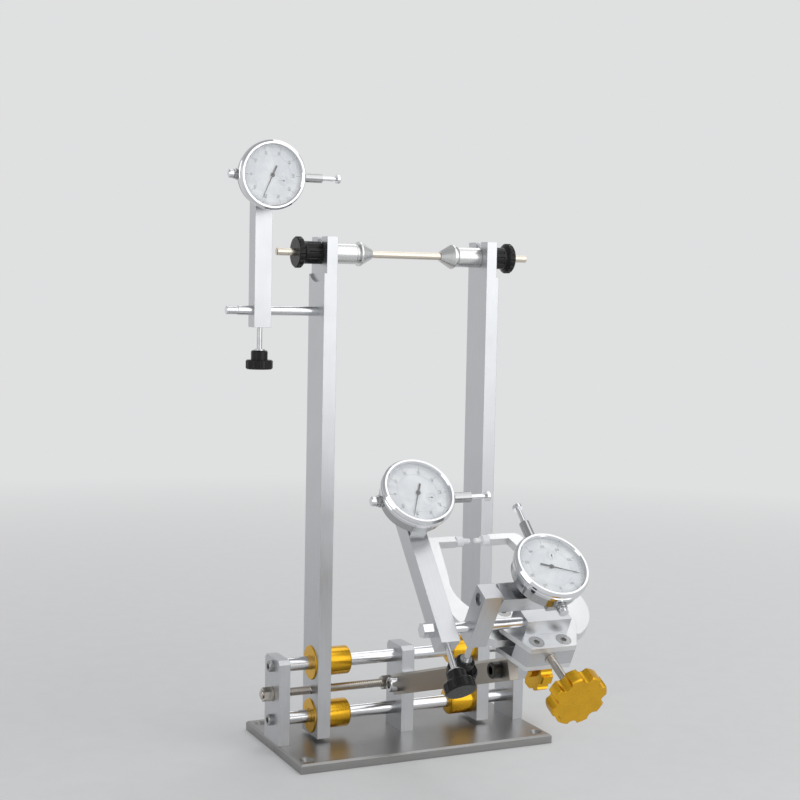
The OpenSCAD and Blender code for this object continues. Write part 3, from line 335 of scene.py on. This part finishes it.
# The gauge cases' metal, with painted shade in its darker colour
case_metal_painted_shade = metal(
    "gauge_case_metal_painted_shade", CASE_METAL_PAINTED_DARK, 0.12, depth=3e-7, edge=0, shade=0.88, spread=0.05
)
screw_steel = metal("screw_steel", SCREW_STEEL, 0.3, depth=5e-6, shade=0.85)
pivot_screws = two_part("pivot_screws", BLACK_STEEL, BRIGHT_STEEL, Y, BETWEEN_PIVOTS)
plastic = moulded(
    "black_plastic", INK, 0.3, grain=400, depth=1e-6, Specular_IOR_Level=LOW_SHEEN
)
nylon = moulded(
    "white_nylon",
    NYLON,
    0.42,
    grain=500,
    depth=1e-5,
    Subsurface_Weight=0.15,
    Subsurface_Radius=NYLON_DEPTH,
)
hand_black = moulded("hand_enamel", HAND_ENAMEL, 0.35, grain=900, depth=2e-6, edge=0.0001)
dial_white = moulded("dial_enamel", DIAL_ENAMEL, 0.5, grain=1200, depth=1.5e-6, edge=0.0001)
dial_ink = moulded("dial_ink", DIAL_PRINT, 0.6, grain=1200, depth=1e-6, edge=0.00005)
glass = clear_glass("gauge_glass")

# The long way of each gauge's bar, and the bar's pivot
BARS = {
    "top": (Z, (0, 0.0024, 0.3818)),
    "side": (side_bar_up, (0, -0.25138, 0.15859)),
    "rim": (rim_bar_up, (0, -0.25138, 0.15859)),
}
FINISHES = [
    (alloy_z, ["end_plate_left", "end_plate_right", "centre_post"]),
    (alloy_z, ["upright_left", "upright_right", "top_bar"]),
    (base_alloy_painted_shade, ["base_plate"]),
    (arm_steel, ["swing_arm"]),
    (yoke_alloy, ["yoke_top_plate", "yoke_lower_plate", "calliper_left", "calliper_right"]),
    (block_alloy, ["yoke_front_block", "shaft_block", "rim_cross_bar"]),
    (lug_alloy, ["tilt_lug"]),
    (side_bar_alloy, ["side_bar"]),
    (rim_bar_alloy, ["rim_bar"]),
    (chrome_x, ["guide_rod_lower", "guide_rod_upper", "gauge_shaft", "top_gauge_rod"]),
    (axle_steel, ["axle_rod"]),
    (steel_x, ["lead_screw", "lead_screw_nuts"]),
    (hub_steel, ["cone_left", "cone_right", "sleeve_left", "sleeve_right"]),
    (gold_x, ["bushings_left", "bushings_right", "lead_screw_knob"]),
    (gold_yoke, ["adjuster_knob"]),
    (adjuster_steel, ["adjuster_screw", "spreader_cone"]),
    (screw_steel, ["yoke_screws", "frame_screws"]),
    (pivot_screws, ["arm_pivot_screws"]),
    (plastic, ["axle_nut_left", "axle_nut_right"]),
    (nylon, ["tip_left", "tip_right"]),
    (case_metal_painted_shade, [gauge + "_case" for gauge in BARS]),
    (chrome, [gauge + "_bezel" for gauge in BARS]),
    (chrome, [gauge + "_plunger" for gauge in BARS]),
    (glass, [gauge + "_glass" for gauge in BARS]),
    (hand_black, [gauge + "_hand" for gauge in BARS]),
]
# Each clamp knob's stud is steel above its neck, which ends this far below the bar's pivot
STUD_BELOW = 0.0338
for gauge, (bar_up, pivot) in BARS.items():
    knob_top = Vector(pivot).dot(Vector(bar_up)) - STUD_BELOW
    knob = two_part(gauge + "_knob", BLACK_PLASTIC, BRIGHT_STEEL, bar_up, knob_top)
    FINISHES.append((knob, [gauge + "_clamp_knob"]))
for material, names in FINISHES:
    for name in names:
        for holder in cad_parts[name].material_slots:
            holder.material = material


# Pieces

LATHE_STEPS = 96
SMOOTH_BELOW = radians(35)
MERGE = 1e-8


class Solid:
    """Points and faces gathered in one frame, then made into one object."""

    def __init__(self):
        self.points, self.faces = [], []

    def add(self, points, faces):
        start = len(self.points)
        self.points += [Vector(p) for p in points]
        self.faces += [[start + i for i in face] for face in faces]

    def lathe(self, profile, steps=LATHE_STEPS):
        """Turns a profile of (radius, height) about Z, closed unless it starts on the axis."""
        n = len(profile)
        closed = profile[0][0] > 0
        points = [
            (r * cos(tau * i / steps), r * sin(tau * i / steps), z)
            for i in range(steps)
            for r, z in profile
        ]
        faces = []
        for i in range(steps):
            here, there = i * n, (i + 1) % steps * n
            for j in range(n if closed else n - 1):
                k = (j + 1) % n
                faces.append((here + j, there + j, there + k, here + k))
        self.add(points, faces)

    def slab(self, outline, low, high):
        """A flat outline, drawn anticlockwise, between two heights."""
        n = len(outline)
        points = [(x, y, z) for z in (low, high) for x, y in outline]
        sides = [(i, (i + 1) % n, n + (i + 1) % n, n + i) for i in range(n)]
        self.add(points, [list(range(n))[::-1], list(range(n, 2 * n))] + sides)

    def make(self, name, material, place=None, smooth=False):
        mesh = bpy.data.meshes.new(name)
        mesh.from_pydata([place @ p if place else p for p in self.points], [], self.faces)
        mesh.materials.append(material)
        work = bmesh.new()
        work.from_mesh(mesh)
        bmesh.ops.remove_doubles(work, verts=work.verts, dist=MERGE)
        for face in work.faces:
            face.smooth = smooth
        work.to_mesh(mesh)
        work.free()
        if smooth:
            mesh.set_sharp_from_angle(angle=SMOOTH_BELOW)
        piece = bpy.data.objects.new(name, mesh)
        scene.collection.objects.link(piece)
        return piece


def attach(piece, body, node=None):
    """Makes a piece ride with a body, in place of a CAD node if one is named."""
    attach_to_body(piece, body)
    if node:
        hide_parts(node)


# Gauges: the dial's centre, its normal, the plunger's direction, the case's body and how far
# the long hand is turned from the plunger, in degrees

Gauge = namedtuple("Gauge", "centre normal plunger body hand")


def leaning(angle):
    """The normal of a dial that faces forward and leans back."""
    return (0, -cos(angle), sin(angle))


along_rim = (0, sin(RIM_LEAN), cos(RIM_LEAN))
GAUGES = {
    "top": Gauge((-0.1355, -0.024, 0.494), leaning(0), X, "top_bar", 246),
    "side": Gauge((-0.0848, -0.2071, 0.25109), leaning(SIDE_LEAN), X, "side_bar", 245),
    "rim": Gauge((-0.012, -0.27938, 0.20402), leaning(RIM_LEAN), along_rim, "rim_head", 250),
}

# The dial: radii, heights above the case's floor, and its print
DIAL_BORE, PLATE_R, SCALE_R = 0.0011, 0.0162, 0.0256
RING_GAP, RING_BEVEL = 0.0001, 0.00004
PLATE_LOW, PLATE_Z, INK_STEP = 0.00001, 0.00016, 0.00002
INK_Z = PLATE_Z + INK_STEP
TICKS, TICK_R = 100, 0.0243
LONG_TICK, MIDDLE_TICK, SHORT_TICK = 0.0034, 0.0026, 0.0017
BOLD, FINE = 0.00030, 0.00016
FIGURE_SIZE, FIGURE_R = 0.0034, 0.0185

# The counter, which is a small dial on the large one
COUNTER, COUNTER_R, COUNTER_TICKS = (0.010, -0.0043), 0.0043, 50
COUNTER_LONG, COUNTER_SHORT, COUNTER_FINE = 0.0009, 0.0004, 0.00011
SMALL_SIZE, SMALL_R = 0.0013, 0.0028
COUNTER_TURN = radians(172)

# Hands: half widths along each blade, its heights, and its hub's profile
BLADE = [
    (0.0215, 0.00012), (0.0, 0.00042), (-0.0016, 0.00036), (-0.0022, 0.00062), (-0.0085, 0.00072),
]
BLADE_Z = 0.0009, 0.0012
HUB = [
    (0.0, 0.0006), (0.0009, 0.0006), (0.00175, 0.0008), (0.00175, 0.00145), (0.0013, 0.0018),
    (0.0, 0.0019),
]
SMALL_BLADE = [(0.0026, 0.00007), (-0.0011, 0.00022)]
SMALL_BLADE_Z = 0.00042, 0.00056
SMALL_HUB = [
    (0.0, 0.00018), (0.00032, 0.00018), (0.00055, 0.00036), (0.00055, 0.0006),
    (0.00035, 0.00068), (0.0, 0.00068),
]


def gauge_matrix(gauge):
    """The dial's frame: X along the plunger, Z out of the dial."""
    normal, plunger = Vector(gauge.normal), Vector(gauge.plunger)
    return frame_at(gauge.centre, plunger, normal.cross(plunger), normal)


def numeral(text, size):
    """The points and faces of a number in the built-in font, centred on the origin."""
    curve = bpy.data.curves.new("numeral", "FONT")
    curve.body = text
    curve.size = size
    curve.align_x = "CENTER"
    curve.align_y = "CENTER"
    curve.resolution_u = 3
    holder = bpy.data.objects.new("numeral", curve)
    scene.collection.objects.link(holder)
    shape = holder.evaluated_get(bpy.context.evaluated_depsgraph_get())
    mesh = bpy.data.meshes.new_from_object(shape)
    found = [v.co.copy() for v in mesh.vertices], [list(f.vertices) for f in mesh.polygons]
    bpy.data.objects.remove(holder)
    bpy.data.curves.remove(curve)
    bpy.data.meshes.remove(mesh)
    return found


DIAL_NUMERALS = [numeral(str(10 * i), FIGURE_SIZE) for i in range(10)]
COUNTER_NUMERALS = [numeral(str(i), SMALL_SIZE) for i in range(10)]


def tick(ink, centre, angle, outer, length, width):
    """A mark that runs inwards from a circle."""
    out, aside = Vector((cos(angle), sin(angle), 0)), Vector((-sin(angle), cos(angle), 0))
    c = Vector((*centre, INK_Z))
    ends = [(outer - length, -1), (outer, -1), (outer, 1), (outer - length, 1)]
    ink.add([c + out * r + aside * side * width / 2 for r, side in ends], [(0, 1, 2, 3)])


def figures(ink, numerals, centre, radius):
    """Numbers round a centre, their heads towards the zero, which is away from the plunger."""
    for i, (points, faces) in enumerate(numerals):
        angle = pi - tau * i / len(numerals)
        c = Vector((centre[0] + radius * cos(angle), centre[1] + radius * sin(angle), INK_Z))
        ink.add([c + Vector((-p.y, p.x, 0)) for p in points], faces)


def ring(inner, outer):
    """A flat ring of the dial, its upper edges bevelled."""
    solid = Solid()
    shoulder = PLATE_Z - RING_BEVEL
    solid.lathe(
        [
            (inner, PLATE_LOW),
            (outer, PLATE_LOW),
            (outer, shoulder),
            (outer - RING_BEVEL, PLATE_Z),
            (inner + RING_BEVEL, PLATE_Z),
            (inner, shoulder),
        ]
    )
    return solid


def hand(blade, heights, hub, hub_steps):
    """A blade, given by half widths from its tip to its tail, on a domed hub."""
    solid = Solid()
    solid.slab([(x, -y) for x, y in blade[::-1]] + blade, *heights)
    solid.lathe(hub, hub_steps)
    return solid


def dress_gauge(name, gauge):
    """The dial's two rings and their print, the counter with its hand, and the long hand."""
    place = gauge_matrix(gauge)
    plate = ring(DIAL_BORE, PLATE_R).make(name + "_dial_plate", dial_white, place)
    scale = ring(PLATE_R + RING_GAP, SCALE_R).make(name + "_scale_ring", dial_white, place)

    marks = Solid()
    for i in range(TICKS):
        tenth = i % 10 == 0
        length = LONG_TICK if tenth else MIDDLE_TICK if i % 5 == 0 else SHORT_TICK
        tick(marks, (0, 0), pi - tau * i / TICKS, TICK_R, length, BOLD if tenth else FINE)
    figures(marks, DIAL_NUMERALS, (0, 0), FIGURE_R)
    marks = marks.make(name + "_scale_marks", dial_ink, place)

    small = Solid()
    for i in range(COUNTER_TICKS):
        length = COUNTER_SHORT if i % 5 else COUNTER_LONG
        tick(small, COUNTER, tau * i / COUNTER_TICKS, COUNTER_R, length, COUNTER_FINE)
    figures(small, COUNTER_NUMERALS, COUNTER, SMALL_R)
    small = small.make(name + "_counter_marks", dial_ink, place)

    at_counter = place @ Matrix.Translation((*COUNTER, 0)) @ Matrix.Rotation(COUNTER_TURN, 4, "Z")
    counter = hand(SMALL_BLADE, SMALL_BLADE_Z, SMALL_HUB, 24)
    counter = counter.make(name + "_counter_hand", hand_black, at_counter)
    for piece, body, slot in (
        (plate, gauge.body, "case"),
        (small, gauge.body, "hand"),
        (counter, gauge.body, "hand"),
        (scale, name + "_bezel", "case"),
        (marks, name + "_bezel", "hand"),
    ):
        attach(piece, body)

    turned_by = place @ Matrix.Rotation(radians(gauge.hand), 4, "Z")
    needle = hand(BLADE, BLADE_Z, HUB, 32).make(name + "_needle", hand_black, turned_by)
    attach(needle, name + "_hand", name + "_hand")


for name, gauge in GAUGES.items():
    dress_gauge(name, gauge)


# Rods, sleeves, the adjuster knob's face and the lead screw

NECK_STEP = 0.0005
BORE_R, SLEEVE_R, FLANGE_R, SLEEVE_REACH = 0.00604, 0.0125, 0.015, 0.0345
# A sleeve's flange: its faces, outwards from the upright's, and its bevels
FLANGE_OUT, FLANGE_IN = 0.0011, -0.0004
BORE_BEVEL, FLANGE_BEVEL, BEVEL_DEPTH = 0.0005, 0.0006, 0.0005
# A sleeve's rounded inner end: how far each point lies in from its radius and from its reach
SLEEVE_ROUND = (0.0, 0.0016), (0.0004, 0.0008), (0.0016, 0.0)
# A thread's points a turn and a pitch, the bevel at its ends, and its flanks' gain and offset
AROUND, PITCH_STEPS, THREAD_BEVEL = 30, 6, 0.0007
FLANK_GAIN, FLANK_OFFSET = 2.4, 0.7


def turned(name, node, body, material, profiles):
    """Pieces turned about X in place of a node; each profile is (y, z, [(radius, x), ...])."""
    whole = Solid()
    for y, z, profile in profiles:
        one = Solid()
        one.lathe(profile)
        turn = Matrix.Translation((0, y, z)) @ Matrix.Rotation(pi / 2, 4, "Y")
        whole.add([turn @ p for p in one.points], one.faces)
    attach(whole.make(name, material, smooth=True), body, node)


def rod(node, body, material, bevel=0.0004, neck=0.0):
    """A plain rod along X with bevelled ends, its -X end turned down over the neck's length."""
    low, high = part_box(node)
    middle = (low + high) / 2
    r = (high.z - low.z) / 2
    end = r - NECK_STEP if neck else r
    profile = [(0.0, low.x), (end - bevel, low.x), (end, low.x + bevel)]
    if neck:
        profile += [(end, low.x + neck), (r, low.x + neck)]
    profile += [(r, high.x - bevel), (r - bevel, high.x), (0.0, high.x)]
    turned(node + "_turned", node, body, material, [(middle.y, middle.z, profile)])


def bushings(side, sign):
    """Flanged sleeves, nearly flush with an upright's outer face, reaching past its inner one."""
    low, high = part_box("bushings_" + side)
    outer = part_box("upright_" + side)[sign > 0].x
    # Radius, and how far outwards from the upright's outer face
    profile = [
        (BORE_R, FLANGE_OUT - BEVEL_DEPTH),
        (BORE_R + BORE_BEVEL, FLANGE_OUT),
        (FLANGE_R - FLANGE_BEVEL, FLANGE_OUT),
        (FLANGE_R, FLANGE_OUT - BEVEL_DEPTH),
        (FLANGE_R, FLANGE_IN),
        (SLEEVE_R, FLANGE_IN),
        *((SLEEVE_R - across, along - SLEEVE_REACH) for across, along in SLEEVE_ROUND),
        (BORE_R, -SLEEVE_REACH),
    ]
    profile = [(r, outer + sign * out) for r, out in profile][::-sign]
    y = (low.y + high.y) / 2
    places = [(y, z, profile) for z in (low.z + FLANGE_R, high.z - FLANGE_R)]
    turned("sleeves_" + side, "bushings_" + side, "upright_" + side, gold_x, places)


def threaded_rod(name, node, body, material, pitch, starts, crest, root, middle):
    """A rod along X in place of a node, its threads opposite on the two sides of the middle."""
    low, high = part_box(node)
    axis = (low + high) / 2
    steps = int((high.x - low.x) / (pitch / PITCH_STEPS))
    points, faces = [], []
    for i in range(steps + 1):
        x = low.x + (high.x - low.x) * i / steps
        limit = min(crest, crest - THREAD_BEVEL + min(x - low.x, high.x - x))
        handed = 1 if x > middle else -1
        for j in range(AROUND):
            a = tau * j / AROUND
            phase = ((x - middle) / pitch + handed * starts * a / tau) % 1
            wave = min(1, max(0, FLANK_GAIN * abs(2 * phase - 1) - FLANK_OFFSET))
            r = min(limit, root + (crest - root) * wave)
            points.append((x, axis.y + r * cos(a), axis.z + r * sin(a)))
    for i in range(0, steps * AROUND, AROUND):
        for j in range(AROUND):
            k = (j + 1) % AROUND
            faces.append((i + AROUND + j, i + AROUND + k, i + k, i + j))
    faces.append(list(range(AROUND))[::-1])
    faces.append([steps * AROUND + j for j in range(AROUND)])
    screw = Solid()
    screw.add(points, faces)
    attach(screw.make(name, material, smooth=True), body, node)


bushings("left", -1)
bushings("right", 1)
rod("guide_rod_lower", "frame", chrome_x)
rod("guide_rod_upper", "frame", chrome_x)
rod("top_gauge_rod", "upright_left", chrome_x, neck=0.01)
rod("axle_rod", "axle", axle_steel, bevel=0.0006)

# The plain face of the adjuster's knob: where it lies on that screw's line, and a profile whose
# rim dips just under the CAD's face
KNOB_FACE = (0, -0.30418, 0.11058)
KNOB_PROFILE = [
    (0.0, -0.0015), (0.0089, -0.0015), (0.0118, -0.00001), (0.0112, 0.00003), (0.0, 0.00003),
]
knob_out = Vector((0, -cos(YOKE_SLOPE), -sin(YOKE_SLOPE)))
turn = knob_out.to_track_quat("Z", "Y").to_matrix().to_4x4()
face = Solid()
face.lathe(KNOB_PROFILE)
face = face.make("adjuster_knob_face", gold_face, Matrix.Translation(KNOB_FACE) @ turn)
attach(face, "adjuster")

threaded_rod(
    "lead_screw_thread",
    "lead_screw",
    "lead_screw",
    steel_x,
    pitch=0.002,
    starts=4,
    crest=0.00375,
    root=0.0031,
    middle=0.0,
)


# Floor, surroundings and lamps

PALE = (0.74, 0.745, 0.75, 1)
PALER = (0.76, 0.765, 0.77)
OVERHEAD = (0.45, 0.455, 0.46, 1)
# The backdrop is pale below the first height and as dark as overhead above the second
BACKDROP_HEIGHTS = 0.2, 0.62
FLOOR_Z, FLOOR_RADII = -0.0002, (0.0, 1.5, 12.0)
FLOOR_SPECKS, FLOOR_ROUGH, FLOOR_SHEEN = 40, 0.9, 0.1
# The floor's share of glow, from the first radius to the second
GLOW, GLOW_RADII = (0.12, 1), (0.35, 1.9)


def floor_material():
    """Matt near the stand, and as bright as the backdrop further out."""
    s = Shader("studio_floor")
    s.set(Base_Color=s.blend(s.ramp(s.noise(FLOOR_SPECKS), 0, 1), PALE[:3], PALER))
    s.set(Roughness=FLOOR_ROUGH, Specular_IOR_Level=FLOOR_SHEEN)
    glow = s.add("ShaderNodeEmission", Color=PALE, Strength=1.0)
    mix = s.add("ShaderNodeMixShader")
    s.link(s.ramp(s.measure("LENGTH"), *GLOW, *GLOW_RADII), mix.inputs[0])
    s.link(s.bsdf.outputs[0], mix.inputs[1])
    s.link(glow.outputs[0], mix.inputs[2])
    s.link(mix.outputs[0], s.out.inputs[0])
    return s.material


floor = Solid()
floor.lathe([(r, FLOOR_Z) for r in FLOOR_RADII], 64)
floor.make("floor", floor_material())

world = bpy.data.worlds.new("studio")
scene.world = world
world.use_nodes = True
tree = world.node_tree
backdrop = tree.nodes["Background"]
direction = tree.nodes.new("ShaderNodeTexCoord")
parts = tree.nodes.new("ShaderNodeSeparateXYZ")
fade = tree.nodes.new("ShaderNodeValToRGB")
for stop, height, colour in zip(fade.color_ramp.elements, BACKDROP_HEIGHTS, (PALE, OVERHEAD)):
    stop.position = height
    stop.color = colour
tree.links.new(direction.outputs["Generated"], parts.inputs[0])
tree.links.new(parts.outputs["Z"], fade.inputs[0])
tree.links.new(fade.outputs[0], backdrop.inputs["Color"])
backdrop.inputs["Strength"].default_value = 1.0

# Name, place, what it is aimed at, width and watts
STAND, YOKE = (0, -0.08, 0.25), (-0.05, -0.2, 0.25)
LAMPS = (
    ("key", (0.75, -1.7, 0.95), STAND, 2.0, 11),
    ("fill", (-1.8, -0.9, 0.9), STAND, 1.2, 5),
    ("back", (0.66, 0.62, 1.5), STAND, 1.1, 3.3),
    ("top", (0.5, -0.5, 1.45), YOKE, 0.9, 2.1),
)
for name, place, aim, size, power in LAMPS:
    light = bpy.data.lights.new(name, "AREA")
    light.shape = "DISK"
    light.size = size
    light.energy = power
    lamp = bpy.data.objects.new(name, light)
    lamp.location = place
    lamp.rotation_euler = (Vector(aim) - Vector(place)).to_track_quat("-Z", "Y").to_euler()
    scene.collection.objects.link(lamp)
